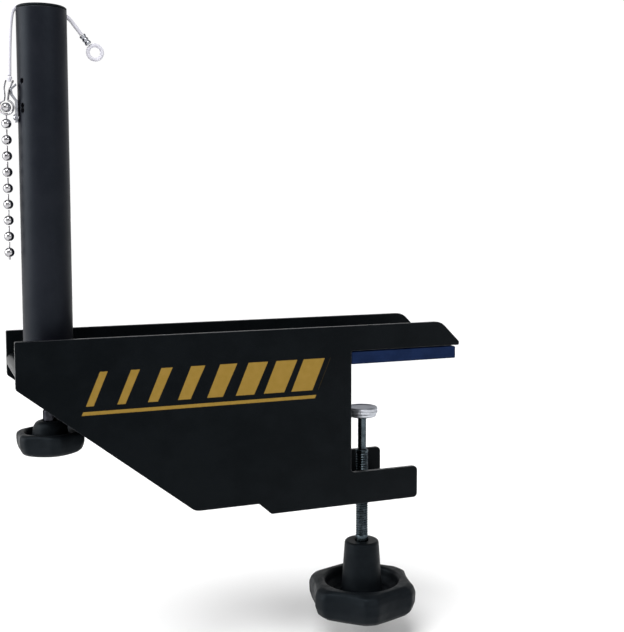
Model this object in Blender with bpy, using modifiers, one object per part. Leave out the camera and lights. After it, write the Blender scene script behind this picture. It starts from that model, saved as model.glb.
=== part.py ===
"""Table tennis net clamp: one of the two clamps that hold a net across a table.

Metres, +Z up. The origin is the centre of the jaw pad's underside, which rests on the table top.
+X runs along the net towards the middle of the table, and +Y across the clamp to its rear cheek.
The table's edge stands at TABLE_EDGE_X and the post stands outside it, over the height screw.
"""

import math

import bmesh
import bpy
from mathutils import Matrix, Vector

OBJECT_NAME = "table_tennis_net_clamp"

# Driving dimensions
CLEARANCE = 0.0003
SHEET = 0.002
BRACKET_WIDTH = 0.0458
JAW_OPENING = 0.026
TABLE_EDGE_X = -0.0245
POST_X = TABLE_EDGE_X - 0.151
CLAMP_X = TABLE_EDGE_X + 0.0057
SCREW_RADIUS = 0.0032

# Bracket, in the plane of its cheeks
CHEEK_TOP_Z = 0.019
TAIL_X = -0.1923
TAIL_LOW_Z = -0.0019
KEEL_Z = -0.064
KEEL_START_X = -0.1135
KEEL_END_X = -0.0825
ARM_START_X = -0.0763
ARM_BOTTOM_Z = -0.0696
ARM_TOP_Z = -0.0537
ARM_END_X = 0.0015
THROAT_X = TABLE_EDGE_X - 0.0103
MOUTH_Z = 0.0067
NOSE_X = 0.0249
NOSE_SLOPE_X = 0.0145
WEB_TOP_Z = 0.0084
END_LIP = 0.0048

# Post
POST_RADIUS = 0.011
POST_WALL = 0.0016
POST_BOTTOM_Z = 0.0129
POST_TUBE_TOP_Z = 0.164
POST_TOP_Z = 0.1655
NET_SLOT_WIDTH = 0.003
NET_SLOT_BOTTOM_Z = 0.024
CAP_DEPTH = 0.0135

# Height screw
HEIGHT_HUB_TOP_Z = -0.0205
HEIGHT_KNOB_BOTTOM_Z = -0.035
THRUST_PLUG_Z = (0.040, 0.052)

# Clamp screw
CLAMP_HUB_TOP_Z = -0.0964
CLAMP_KNOB_BOTTOM_Z = -0.1327
NECK_RADIUS = 0.00215
NECK_START_Z = -0.0483
PAD_RADIUS = 0.008
PAD_BOTTOM_Z = -0.031

# Cord, coupling and bead chain; x is counted from the post's axis
CORD_RADIUS = 0.0009
CHAIN_X = -0.016
RING_Z = 0.1207
RING_RADIUS = 0.0031
COUPLING_WIRE_RADIUS = 0.00045
COUPLING_Y = -0.0012
BEAD_RADIUS = 0.00215
BEAD_PITCH = 0.00712
BEAD_COUNT = 9
LINK_RADIUS = 0.0004

WEB_BOTTOM_Z = WEB_TOP_Z - SHEET
HALF_WIDTH = BRACKET_WIDTH / 2
HALF_INSIDE = HALF_WIDTH - SHEET - CLEARANCE
BORE_RADIUS = SCREW_RADIUS + CLEARANCE
BORE_OF_POST = POST_RADIUS - POST_WALL


# ---------------------------------------------------------------- helpers


def new_collection(name):
    """A fresh collection in the scene."""
    group = bpy.data.collections.new(name)
    bpy.context.scene.collection.children.link(group)
    return group


def make_material(name, colour, roughness, metallic=0.0):
    """A Principled BSDF with one colour, roughness and metallic value."""
    finish = bpy.data.materials.new(name)
    finish.use_nodes = True
    shader = finish.node_tree.nodes["Principled BSDF"]
    shader.inputs["Base Color"].default_value = (*colour, 1.0)
    shader.inputs["Roughness"].default_value = roughness
    shader.inputs["Metallic"].default_value = metallic
    return finish


def add_object(name, data, finish, carrier=None, location=(0.0, 0.0, 0.0)):
    """Puts a mesh or curve into the parts' collection, under its carrier if it moves."""
    obj = bpy.data.objects.new(name, data)
    parts.objects.link(obj)
    obj.parent = carrier
    obj.location = location
    obj.data.materials.append(finish)
    return obj


def add_axis(name, x):
    """An empty on a vertical screw axis, which carries the pieces that move along or about it."""
    empty = bpy.data.objects.new(name, None)
    empty.location = (x, 0.0, 0.0)
    parts.objects.link(empty)
    return empty


def to_mesh(name, curve):
    """A curve object's closed mesh, with its caps welded on."""
    graph = bpy.context.evaluated_depsgraph_get()
    mesh = bpy.data.meshes.new_from_object(curve.evaluated_get(graph))
    mesh.name = name
    mesh.transform(curve.matrix_world)
    shape = bmesh.new()
    shape.from_mesh(mesh)
    bmesh.ops.remove_doubles(shape, verts=shape.verts, dist=1e-6)
    shape.to_mesh(mesh)
    shape.free()
    bpy.data.objects.remove(curve)
    return mesh


def outline_mesh(name, points, thickness):
    """A flat outline in the XZ plane, thickened evenly to both sides of it along Y."""
    curve = bpy.data.curves.new(name, "CURVE")
    curve.dimensions = "2D"
    curve.fill_mode = "BOTH"
    curve.extrude = thickness / 2
    spline = curve.splines.new("POLY")
    spline.points.add(len(points) - 1)
    for place, (x, z) in zip(spline.points, points):
        place.co = (x, z, 0.0, 1.0)
    spline.use_cyclic_u = True
    holder = bpy.data.objects.new(name, curve)
    bpy.context.scene.collection.objects.link(holder)
    holder.rotation_euler = (math.pi / 2, 0.0, 0.0)
    bpy.context.view_layer.update()
    return to_mesh(name, holder)


def rounded(corners, steps=5):
    """An outline from (x, z, radius) corners, each turned on an arc of its radius."""
    points = []
    for index, (x, z, radius) in enumerate(corners):
        here = Vector((x, z))
        before = (Vector(corners[index - 1][:2]) - here).normalized()
        after = (Vector(corners[(index + 1) % len(corners)][:2]) - here).normalized()
        if radius == 0.0:
            points.append((x, z))
            continue
        half_angle = before.angle(after) / 2
        centre = here + (before + after).normalized() * radius / math.sin(half_angle)
        start = here + before * radius / math.tan(half_angle) - centre
        sweep = start.angle_signed(here + after * radius / math.tan(half_angle) - centre)
        for step in range(steps + 1):
            turn = Matrix.Rotation(-sweep * step / steps, 2)
            points.append(tuple(centre + turn @ start))
    return points


def turned(name, profile, finish, carrier, closed=False, steps=32, x=0.0, y=0.0):
    """A turned piece about its carrier's vertical axis, from (radius, z) points run down its outer side."""
    mesh = bpy.data.meshes.new(name)
    count = len(profile)
    edges = [(i, (i + 1) % count) for i in range(count if closed else count - 1)]
    mesh.from_pydata([(radius, 0.0, z) for radius, z in profile], edges, [])
    obj = add_object(name, mesh, finish, carrier, (x, y, 0.0))
    screw = obj.modifiers.new("Turn", "SCREW")
    screw.steps = steps
    screw.render_steps = steps
    screw.use_merge_vertices = True
    screw.merge_threshold = 1e-6
    screw.use_smooth_shade = True
    return obj


def ring(name, inner, outer, low, high, finish, carrier, steps=32):
    """A plain washer or sleeve."""
    profile = [(outer, high), (outer, low), (inner, low), (inner, high)]
    return turned(name, profile, finish, carrier, True, steps)


def box_mesh(name, low, high):
    """A box between two opposite corners."""
    shape = bmesh.new()
    bmesh.ops.create_cube(shape, size=1.0)
    size = Vector(high) - Vector(low)
    middle = (Vector(high) + Vector(low)) / 2
    bmesh.ops.scale(shape, vec=size, verts=shape.verts)
    bmesh.ops.translate(shape, vec=middle, verts=shape.verts)
    mesh = bpy.data.meshes.new(name)
    shape.to_mesh(mesh)
    shape.free()
    return mesh


def cylinder_mesh(name, radius, length, direction=(0.0, 0.0, 1.0), sides=24):
    """A cylinder, or a prism with few sides, centred on its origin along the direction."""
    shape = bmesh.new()
    bmesh.ops.create_cone(
        shape, cap_ends=True, segments=sides, radius1=radius, radius2=radius, depth=length
    )
    aim = Vector(direction).to_track_quat("Z", "Y").to_matrix()
    bmesh.ops.rotate(shape, verts=shape.verts, matrix=aim)
    mesh = bpy.data.meshes.new(name)
    shape.to_mesh(mesh)
    shape.free()
    mesh.shade_smooth()
    mesh.set_sharp_from_angle(angle=math.radians(40))
    return mesh


def cut(obj, mesh, location=(0.0, 0.0, 0.0), rotation=(0.0, 0.0, 0.0)):
    """Cuts a mesh out of an object; the place is in the frame of the object's carrier."""
    cutter = bpy.data.objects.new(f"cut_{mesh.name}", mesh)
    cutters.objects.link(cutter)
    cutter.parent = obj.parent
    cutter.location = location
    cutter.rotation_euler = rotation
    cutter.hide_render = True
    cutter.display_type = "WIRE"
    difference = obj.modifiers.new("Cut", "BOOLEAN")
    difference.operation = "DIFFERENCE"
    difference.solver = "EXACT"
    difference.object = cutter


def smooth_path(route, spacing):
    """Points at an even spacing on a Catmull-Rom curve through the route's points."""
    knots = [Vector(point) for point in route]
    knots = [2 * knots[0] - knots[1], *knots, 2 * knots[-1] - knots[-2]]
    fine = []
    for a, b, c, d in zip(knots, knots[1:], knots[2:], knots[3:]):
        for step in range(20):
            t = step / 20
            fine.append(
                0.5 * (2 * b + (c - a) * t + (2 * a - 5 * b + 4 * c - d) * t**2)
                + 0.5 * (3 * b - a - 3 * c + d) * t**3
            )
    fine.append(knots[-2])
    length = sum((q - p).length for p, q in zip(fine, fine[1:]))
    count = max(2, round(length / spacing))
    path, walked, target = [fine[0]], 0.0, length / count
    for p, q in zip(fine, fine[1:]):
        stretch = (q - p).length
        while len(path) < count and walked + stretch >= target * len(path):
            path.append(p.lerp(q, (target * len(path) - walked) / stretch))
        walked += stretch
    path.append(fine[-1])
    return path


def wire(name, path, radius, finish, carrier):
    """A round wire or cord along a path, with filled ends."""
    curve = bpy.data.curves.new(name, "CURVE")
    curve.dimensions = "3D"
    curve.bevel_depth = radius
    curve.bevel_resolution = 2
    curve.use_fill_caps = True
    spline = curve.splines.new("POLY")
    spline.points.add(len(path) - 1)
    for place, point in zip(spline.points, path):
        place.co = (*point, 1.0)
    return add_object(name, curve, finish, carrier)


# ---------------------------------------------------------------- bracket


def cheek_outline():
    """The cheek: a tail under the post, a keel, the clamp's arm, and a nose over the table."""
    return rounded(
        [
            (TAIL_X, CHEEK_TOP_Z, 0.0006),
            (NOSE_SLOPE_X, CHEEK_TOP_Z, 0.007),
            (NOSE_X, MOUTH_Z + 0.0018, 0.0012),
            (NOSE_X, MOUTH_Z, 0.0006),
            (THROAT_X, MOUTH_Z, 0.0008),
            (THROAT_X, ARM_TOP_Z, 0.002),
            (ARM_END_X, ARM_TOP_Z, 0.002),
            (ARM_END_X, ARM_BOTTOM_Z, 0.002),
            (ARM_START_X, ARM_BOTTOM_Z, 0.0015),
            (KEEL_END_X, KEEL_Z, 0.002),
            (KEEL_START_X, KEEL_Z, 0.006),
            (TAIL_X, TAIL_LOW_Z, 0.0015),
        ],
        steps=3,
    )


def web_outline():
    """The web, seen from the front, with its lip folded down at the tail."""
    lip_z = WEB_BOTTOM_Z - END_LIP + SHEET
    return rounded(
        [
            (TAIL_X, WEB_TOP_Z, 0.0025),
            (NOSE_X - 0.0023, WEB_TOP_Z, 0.0),
            (NOSE_X - 0.0023, WEB_BOTTOM_Z, 0.0),
            (TAIL_X + SHEET, WEB_BOTTOM_Z, 0.0006),
            (TAIL_X + SHEET, lip_z, 0.0),
            (TAIL_X, lip_z, 0.0),
        ]
    )


def build_bracket():
    """Two cheeks joined by the web, the throat plate and the arm's floor, with two welded nuts."""
    cheek = outline_mesh("cheek", cheek_outline(), SHEET)
    for name, side in (("front_cheek", -1), ("rear_cheek", 1)):
        place = (0.0, side * (HALF_WIDTH - SHEET / 2), 0.0)
        add_object(name, cheek.copy(), black_coat, location=place)

    web = add_object(
        "channel_web", outline_mesh("web", web_outline(), 2 * HALF_INSIDE), black_coat
    )
    screw_hole = cylinder_mesh("screw_hole", BORE_RADIUS, 0.02)
    cut(web, screw_hole, (POST_X, 0.0, WEB_TOP_Z))

    floor_top = ARM_BOTTOM_Z + SHEET
    low = (THROAT_X - SHEET, -HALF_INSIDE, floor_top + CLEARANCE)
    high = (THROAT_X, HALF_INSIDE, -CLEARANCE)
    add_object("throat_plate", box_mesh("throat_plate", low, high), black_coat)

    low = (ARM_START_X + 0.012, -HALF_INSIDE, ARM_BOTTOM_Z)
    high = (ARM_END_X, HALF_INSIDE, floor_top)
    floor = add_object("arm_floor", box_mesh("arm_floor", low, high), black_coat)
    cut(floor, screw_hole, (CLAMP_X, 0.0, floor_top))

    nut_corner_radius = 0.0064
    nut_height = 0.0052
    places = (
        ("clamp_nut", CLAMP_X, floor_top + CLEARANCE + nut_height / 2),
        ("height_nut", POST_X, WEB_BOTTOM_Z - CLEARANCE - nut_height / 2),
    )
    for name, x, z in places:
        hexagon = cylinder_mesh(name, nut_corner_radius, nut_height, sides=6)
        nut = add_object(name, hexagon, zinc, location=(x, 0.0, z))
        cut(nut, screw_hole, (x, 0.0, z))

    low = (THROAT_X + CLEARANCE, -HALF_WIDTH, 0.0)
    high = (NOSE_X - 0.0019, HALF_WIDTH, WEB_BOTTOM_Z - CLEARANCE)
    add_object("jaw_pad", box_mesh("jaw_pad", low, high), rubber)

    foot_z = WEB_TOP_Z + CLEARANCE
    flange_top = foot_z + 0.0015
    sleeve_radius = BORE_OF_POST - CLEARANCE
    sleeve_top = 0.034
    profile = [
        (sleeve_radius - 0.0006, sleeve_top),
        (sleeve_radius, sleeve_top - 0.0008),
        (sleeve_radius, flange_top),
        (POST_RADIUS + 0.0015, flange_top),
        (POST_RADIUS + 0.0015, foot_z),
        (BORE_RADIUS, foot_z),
        (BORE_RADIUS, sleeve_top),
    ]
    turned("guide_sleeve", profile, zinc, None, True, x=POST_X)


# ---------------------------------------------------------------- post


def build_post_tube(carrier):
    """The post: a tube with a slot for the net's hem on the table's side and holes beside the catch."""
    tube = ring(
        "post_tube",
        BORE_OF_POST,
        POST_RADIUS,
        POST_BOTTOM_Z,
        POST_TUBE_TOP_Z,
        black_post,
        carrier,
        steps=40,
    )
    slot_half = NET_SLOT_WIDTH / 2
    slot = box_mesh(
        "net_slot",
        (BORE_OF_POST / 2, -slot_half, NET_SLOT_BOTTOM_Z),
        (POST_RADIUS * 1.5, slot_half, POST_TOP_Z + 0.01),
    )
    cut(tube, slot)
    notch_half = CORD_RADIUS + 0.0004
    notch = box_mesh(
        "cord_notch",
        (-POST_RADIUS * 1.5, -notch_half, POST_TUBE_TOP_Z - 0.0012),
        (-BORE_OF_POST / 2, notch_half, POST_TOP_Z + 0.01),
    )
    cut(tube, notch)

    bearing = math.radians(209)
    outward = (math.cos(bearing), math.sin(bearing), 0.0)
    hole = cylinder_mesh("spare_hole", 0.0013, 0.008, outward, sides=16)
    for z in (0.132, 0.1212, 0.1192):
        cut(tube, hole, (outward[0] * POST_RADIUS, outward[1] * POST_RADIUS, z))


def build_post_cap(carrier):
    """The plug in the post's top, with a groove that leads the cord over the rim and down to the slot."""
    flange = POST_TOP_Z - POST_TUBE_TOP_Z - CLEARANCE
    plug_radius = BORE_OF_POST - CLEARANCE
    profile = [
        (0.0, POST_TOP_Z),
        (POST_RADIUS - 0.0005, POST_TOP_Z),
        (POST_RADIUS, POST_TOP_Z - 0.0005),
        (POST_RADIUS, POST_TOP_Z - flange),
        (plug_radius, POST_TOP_Z - flange),
        (plug_radius, POST_TOP_Z - CAP_DEPTH),
        (0.0, POST_TOP_Z - CAP_DEPTH),
    ]
    cap = turned("post_cap", profile, black_plastic, carrier, steps=40)
    groove_half = CORD_RADIUS + 0.0004
    groove = box_mesh("cord_groove", (-0.02, -groove_half, 0.0), (0.02, groove_half, 0.01))
    slope = math.radians(7.5)
    cut(cap, groove, (0.0, 0.0, 0.16255), (0.0, slope, 0.0))


def catch_outline():
    """The catch from the side: flat on the post, then standing off it, with its tip turned back in."""
    metal = 0.0008
    inner = [
        (-0.0113, 0.1142),
        (-0.0113, 0.1235),
        (-0.0133, 0.1262),
        (-0.0136, 0.1283),
        (-0.0116, 0.1302),
    ]
    outer = [
        (-0.0113 - metal, 0.1142),
        (-0.0113 - metal, 0.1237),
        (-0.0133 - metal, 0.1264),
        (-0.0136 - metal, 0.1286),
        (-0.0120, 0.1310),
    ]
    return inner + outer[::-1]


def build_catch(carrier):
    """The sheet catch that the bead chain hooks into, and the rivet that holds it to the post."""
    catch_width = 0.0052
    mesh = outline_mesh("catch", catch_outline(), catch_width)
    catch = add_object("chain_catch", mesh, zinc, carrier, (0.0, COUPLING_Y, 0.0))
    slot_half = 0.0009
    slot = box_mesh("catch_slot", (-0.018, -slot_half, 0.1255), (-0.0126, slot_half, 0.1293))
    cut(catch, slot, (0.0, COUPLING_Y, 0.0))

    rivet_z = 0.1164
    shank_radius = 0.0009
    across = (1.0, 0.0, 0.0)
    rivet_hole = cylinder_mesh("rivet_hole", shank_radius + CLEARANCE, 0.006, across, sides=16)
    cut(catch, rivet_hole, (-POST_RADIUS, COUPLING_Y, rivet_z))
    cut(parts.objects["post_tube"], rivet_hole, (-POST_RADIUS, COUPLING_Y, rivet_z))
    profile = [
        (0.0, 0.0008),
        (0.0008, 0.0007),
        (0.0014, 0.0002),
        (0.0014, 0.0),
        (shank_radius, 0.0),
        (shank_radius, -0.0035),
        (0.0, -0.0035),
    ]
    rivet = turned("catch_rivet", profile, zinc, carrier, steps=16)
    rivet.location = (-0.0113 - 0.0008 - CLEARANCE, COUPLING_Y, rivet_z)
    rivet.rotation_euler = (0.0, -math.pi / 2, 0.0)


# The cord's route, x counted from the post's axis: from the coupling up the post's outer side,
# over its rim, through the cap's groove and out of the slot towards the net.
CORD_ROUTE = [
    (-0.0144, -0.0012, 0.1345),
    (-0.0143, -0.0011, 0.1390),
    (-0.0141, -0.0009, 0.1450),
    (-0.0138, -0.0006, 0.1510),
    (-0.0134, -0.0003, 0.1560),
    (-0.0129, 0.0, 0.1600),
    (-0.0123, 0.0, 0.1626),
    (-0.0113, 0.0, 0.1642),
    (-0.0097, 0.0, 0.1649),
    (-0.0070, 0.0, 0.1648),
    (-0.0030, 0.0, 0.1643),
    (0.0020, 0.0, 0.1637),
    (0.0070, 0.0, 0.1630),
    (0.0102, 0.0, 0.1623),
    (0.0124, 0.0, 0.1607),
    (0.0146, 0.0, 0.1580),
    (0.0174, 0.0, 0.1544),
]


def build_cord(carrier):
    """The tension cord with the sleeve at its coupling and the crimped eye at its net end."""
    wire("tension_cord", smooth_path(CORD_ROUTE, 0.0036), CORD_RADIUS, cord_white, carrier)
    sleeve_x, sleeve_y, sleeve_top = CORD_ROUTE[0]
    sleeve_top -= CLEARANCE
    profile = [
        (0.0, sleeve_top),
        (0.0010, sleeve_top),
        (0.0012, sleeve_top - 0.0003),
        (0.0012, sleeve_top - 0.0010),
        (0.0008, sleeve_top - 0.0014),
        (0.0008, sleeve_top - 0.0022),
        (0.0, sleeve_top - 0.0024),
    ]
    turned("cord_sleeve", profile, cord_white, carrier, False, 16, sleeve_x, sleeve_y)

    end = Vector(CORD_ROUTE[-1])
    course = (end - Vector(CORD_ROUTE[-2])).normalized()
    crimp_length = 0.005
    crimp_middle = end + course * (CLEARANCE + crimp_length / 2)
    crimp = cylinder_mesh("cord_crimp", 0.0015, crimp_length, course, sides=16)
    add_object("cord_crimp", crimp, zinc, carrier, crimp_middle)

    eye_radius = 0.0032
    reach = 2 * CLEARANCE + crimp_length + eye_radius + CORD_RADIUS
    bpy.ops.mesh.primitive_torus_add(
        major_radius=eye_radius,
        minor_radius=CORD_RADIUS,
        major_segments=24,
        minor_segments=8,
        rotation=(math.pi / 2, 0.0, 0.0),
    )
    torus = bpy.context.object
    torus_mesh = torus.data
    torus_mesh.transform(torus.matrix_world.to_3x3().to_4x4())
    torus_mesh.shade_smooth()
    bpy.data.objects.remove(torus)
    add_object("cord_eye", torus_mesh, cord_white, carrier, end + course * reach)


def build_coupling(carrier):
    """The coupling: a wire bent into a keyhole, whose ring holds the chain's first bead."""
    opening = math.radians(16)
    turn = 2 * (math.pi - opening)
    arc = []
    for step in range(21):
        angle = math.pi / 2 + opening + turn * step / 20
        x = CHAIN_X + RING_RADIUS * math.cos(angle)
        arc.append((x, RING_Z + RING_RADIUS * math.sin(angle)))
    left_leg = [(-0.01600, 0.1325), (-0.0165, 0.1306), (-0.0168, 0.1288), (-0.0166, 0.1262)]
    right_leg = [(-0.0149, 0.1262), (-0.0147, 0.1278), (-0.0141, 0.1295), (-0.01280, 0.1325)]
    outline = left_leg + [(-0.0167, 0.1247)] + arc + [(-0.0151, 0.1247)] + right_leg
    path = smooth_path([(x, COUPLING_Y, z) for x, z in outline], 0.0009)
    wire("coupling_wire", path, COUPLING_WIRE_RADIUS, nickel, carrier)


def bead_profile(link_top, stub=0.0):
    """A bead about its own centre, as one turned piece with the link above it and the stub of one below."""
    profile = []
    first = math.asin(LINK_RADIUS / BEAD_RADIUS)
    if link_top:
        profile += [(0.0, link_top), (LINK_RADIUS, link_top)]
    else:
        profile += [(0.0, BEAD_RADIUS)]
    last = math.pi - (first if stub else 0.0)
    rings = 8
    for step in range(rings + 1):
        angle = first + (last - first) * step / rings
        profile.append((BEAD_RADIUS * math.sin(angle), BEAD_RADIUS * math.cos(angle)))
    if stub:
        profile += [(LINK_RADIUS, -stub), (0.0, -stub)]
    else:
        profile[-1] = (0.0, -BEAD_RADIUS)
    return profile


def build_chain(carrier):
    """The bead chain: the first bead sits in the coupling's ring, the others hang from it one by one."""
    sides = 14
    turned("bead_0", bead_profile(0.0), nickel, carrier, steps=sides)
    parts.objects["bead_0"].location = (CHAIN_X, 0.0, RING_Z)
    link_top = BEAD_PITCH - BEAD_RADIUS - CLEARANCE
    for number in range(1, BEAD_COUNT + 1):
        pivot_z = RING_Z - BEAD_PITCH * (number - 1) - BEAD_RADIUS
        drop = BEAD_PITCH - BEAD_RADIUS
        stub = BEAD_RADIUS + 0.0011 if number == BEAD_COUNT else 0.0
        profile = [(radius, z - drop) for radius, z in bead_profile(link_top, stub)]
        bead = turned(f"bead_{number}", profile, nickel, None, steps=sides)
        bead.location = (POST_X + CHAIN_X, 0.0, pivot_z)


# ---------------------------------------------------------------- screws and knobs


def cut_flutes(knob, lobes, radius, depth, half_angle, first_ridge, low, high):
    """Hollows the knob's rim between its ridges with shallow upright flutes."""
    chord = radius * math.sin(half_angle)
    rise = depth - radius * (1 - math.cos(half_angle))
    cutter_radius = (chord**2 + rise**2) / (2 * rise)
    reach = radius - depth + cutter_radius
    flute = cylinder_mesh(f"{knob.name}_flute", cutter_radius, high - low, sides=96)
    for number in range(lobes):
        angle = first_ridge + (number + 0.5) * 2 * math.pi / lobes
        cut(knob, flute, (reach * math.cos(angle), reach * math.sin(angle), (low + high) / 2))


def build_height_drive(carrier):
    """The height screw: its knob, and the washer and clip that hold the post's thrust plug between them."""
    plug_low, plug_high = THRUST_PLUG_Z
    screw_end = 0.0545
    bore_end = HEIGHT_KNOB_BOTTOM_Z + 0.0027
    profile = [
        (0.0, screw_end),
        (SCREW_RADIUS - 0.0006, screw_end),
        (SCREW_RADIUS, screw_end - 0.0006),
        (SCREW_RADIUS, bore_end + CLEARANCE),
        (0.0, bore_end + CLEARANCE),
    ]
    turned("height_screw", profile, zinc, carrier, steps=24)
    washer_top = plug_low - CLEARANCE
    ring("thrust_washer", BORE_RADIUS, 0.0065, washer_top - 0.0012, washer_top, zinc, carrier, 24)
    clip_low = plug_high + CLEARANCE
    ring("height_clip", BORE_RADIUS, 0.0055, clip_low, clip_low + 0.001, zinc, carrier, 24)

    top = HEIGHT_HUB_TOP_Z
    rim = top - 0.0047
    bottom = HEIGHT_KNOB_BOTTOM_Z
    radius = 0.0158
    profile = [
        (0.0, bore_end),
        (BORE_RADIUS, bore_end),
        (BORE_RADIUS, top),
        (0.0048, top),
        (0.0064, top - 0.0007),
        (0.0075, top - 0.0024),
        (0.0081, top - 0.0066),
        (0.0088, top - 0.0078),
        (0.0106, top - 0.0078),
        (0.0112, rim - 0.0012),
        (0.0119, rim),
        (radius - 0.0016, rim),
        (radius - 0.0003, rim - 0.0009),
        (radius, rim - 0.0024),
        (radius - 0.0002, bottom + 0.0042),
        (radius - 0.0012, bottom + 0.0014),
        (radius - 0.0030, bottom),
        (0.0, bottom),
    ]
    knob = turned("height_knob", profile, black_plastic, carrier, steps=36)
    cut_flutes(
        knob, 6, radius, 0.0017, math.radians(22), math.radians(212), bottom - 0.005, rim + 0.005
    )


def build_clamp_pad(carrier):
    """The plated pressure pad that turns freely on the screw's neck."""
    pad_top = -JAW_OPENING
    pocket_top = PAD_BOTTOM_Z + 0.0021
    profile = [
        (0.0, pad_top),
        (PAD_RADIUS - 0.0004, pad_top),
        (PAD_RADIUS, pad_top - 0.0004),
        (PAD_RADIUS, pad_top - 0.0030),
        (PAD_RADIUS - 0.0006, pad_top - 0.0034),
        (PAD_RADIUS - 0.0006, PAD_BOTTOM_Z + 0.0006),
        (PAD_RADIUS - 0.0012, PAD_BOTTOM_Z),
        (NECK_RADIUS + CLEARANCE, PAD_BOTTOM_Z),
        (NECK_RADIUS + CLEARANCE, pocket_top),
        (0.0, pocket_top),
    ]
    turned("pressure_pad", profile, zinc, carrier, steps=32)


def build_clamp_drive(carrier):
    """The clamp screw with the turned neck under the pad, and its star knob."""
    bore_end = CLAMP_KNOB_BOTTOM_Z + 0.0027
    neck_end = PAD_BOTTOM_Z + 0.0021 - CLEARANCE
    profile = [
        (0.0, neck_end),
        (NECK_RADIUS, neck_end),
        (NECK_RADIUS, NECK_START_Z),
        (SCREW_RADIUS - 0.0005, NECK_START_Z),
        (SCREW_RADIUS, NECK_START_Z - 0.0005),
        (SCREW_RADIUS, bore_end + CLEARANCE),
        (0.0, bore_end + CLEARANCE),
    ]
    turned("clamp_screw", profile, zinc, carrier, steps=24)

    top = CLAMP_HUB_TOP_Z
    rim = top - 0.0205
    bottom = CLAMP_KNOB_BOTTOM_Z
    radius = 0.0287
    profile = [
        (0.0, bore_end),
        (BORE_RADIUS, bore_end),
        (BORE_RADIUS, top),
        (0.0081, top),
        (0.0089, top - 0.0008),
        (0.0106, rim - 0.0050),
        (0.0116, rim - 0.0072),
        (0.0165, rim - 0.0072),
        (0.0185, rim - 0.0045),
        (0.0192, rim - 0.0010),
        (0.0202, rim),
        (radius - 0.0040, rim),
        (radius - 0.0014, rim - 0.0012),
        (radius, rim - 0.0044),
        (radius - 0.0003, bottom + 0.0062),
        (radius - 0.0018, bottom + 0.0020),
        (radius - 0.0042, bottom),
        (0.0, bottom),
    ]
    knob = turned("clamp_knob", profile, black_plastic, carrier, steps=48)
    cut_flutes(
        knob, 6, radius, 0.0034, math.radians(23), math.radians(256.5), bottom - 0.005, rim + 0.005
    )


# ---------------------------------------------------------------- the model

for leftover in list(bpy.data.objects):
    bpy.data.objects.remove(leftover)

parts = new_collection(OBJECT_NAME)
cutters = new_collection("cutters")

black_coat = make_material("black_powder_coat", (0.010, 0.012, 0.013), 0.42)
black_post = make_material("black_post_coat", (0.017, 0.018, 0.024), 0.38)
black_plastic = make_material("black_plastic", (0.011, 0.012, 0.014), 0.5)
rubber = make_material("blue_rubber", (0.009, 0.020, 0.078), 0.8)
zinc = make_material("zinc_plate", (0.55, 0.58, 0.62), 0.3, 1.0)
nickel = make_material("nickel_plate", (0.62, 0.60, 0.59), 0.16, 1.0)
cord_white = make_material("white_cord", (0.80, 0.79, 0.80), 0.7)

post_axis = add_axis("post_axis", POST_X)
height_axis = add_axis("height_screw_axis", POST_X)
pad_axis = add_axis("pad_axis", CLAMP_X)
clamp_axis = add_axis("clamp_screw_axis", CLAMP_X)

build_bracket()
build_post_tube(post_axis)
build_post_cap(post_axis)
ring("thrust_plug", BORE_RADIUS, BORE_OF_POST - CLEARANCE, *THRUST_PLUG_Z, zinc, post_axis)
build_catch(post_axis)
build_cord(post_axis)
build_coupling(post_axis)
build_chain(post_axis)
build_height_drive(height_axis)
build_clamp_pad(pad_axis)
build_clamp_drive(clamp_axis)
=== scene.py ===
"""Looks for the table tennis net clamp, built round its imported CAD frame.

Metres, +Z up, in the frame's own coordinates: X along the net, Y across the clamp.
"""

import math

import bmesh
import bpy
from mathutils import Matrix, Vector, noise


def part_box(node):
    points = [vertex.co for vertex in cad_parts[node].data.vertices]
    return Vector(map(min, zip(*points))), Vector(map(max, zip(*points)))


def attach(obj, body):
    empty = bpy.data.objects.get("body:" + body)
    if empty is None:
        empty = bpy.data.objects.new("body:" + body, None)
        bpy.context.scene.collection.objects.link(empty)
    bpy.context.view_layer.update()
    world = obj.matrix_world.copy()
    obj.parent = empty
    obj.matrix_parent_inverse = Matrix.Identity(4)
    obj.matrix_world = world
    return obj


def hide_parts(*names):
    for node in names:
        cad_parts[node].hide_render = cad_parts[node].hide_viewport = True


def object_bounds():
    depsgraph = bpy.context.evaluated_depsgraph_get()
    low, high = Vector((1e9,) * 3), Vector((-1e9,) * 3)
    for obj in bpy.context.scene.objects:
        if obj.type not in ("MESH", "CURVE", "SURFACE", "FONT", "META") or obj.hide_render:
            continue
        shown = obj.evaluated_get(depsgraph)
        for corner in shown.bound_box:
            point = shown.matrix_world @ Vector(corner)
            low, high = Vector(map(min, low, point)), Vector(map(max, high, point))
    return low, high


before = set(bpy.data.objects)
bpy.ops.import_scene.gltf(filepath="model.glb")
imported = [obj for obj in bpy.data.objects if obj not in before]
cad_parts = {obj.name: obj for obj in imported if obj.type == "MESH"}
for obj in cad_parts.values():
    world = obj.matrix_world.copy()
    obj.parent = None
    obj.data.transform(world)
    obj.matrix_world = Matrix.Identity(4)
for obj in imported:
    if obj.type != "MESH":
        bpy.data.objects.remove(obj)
cad_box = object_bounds()

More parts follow.
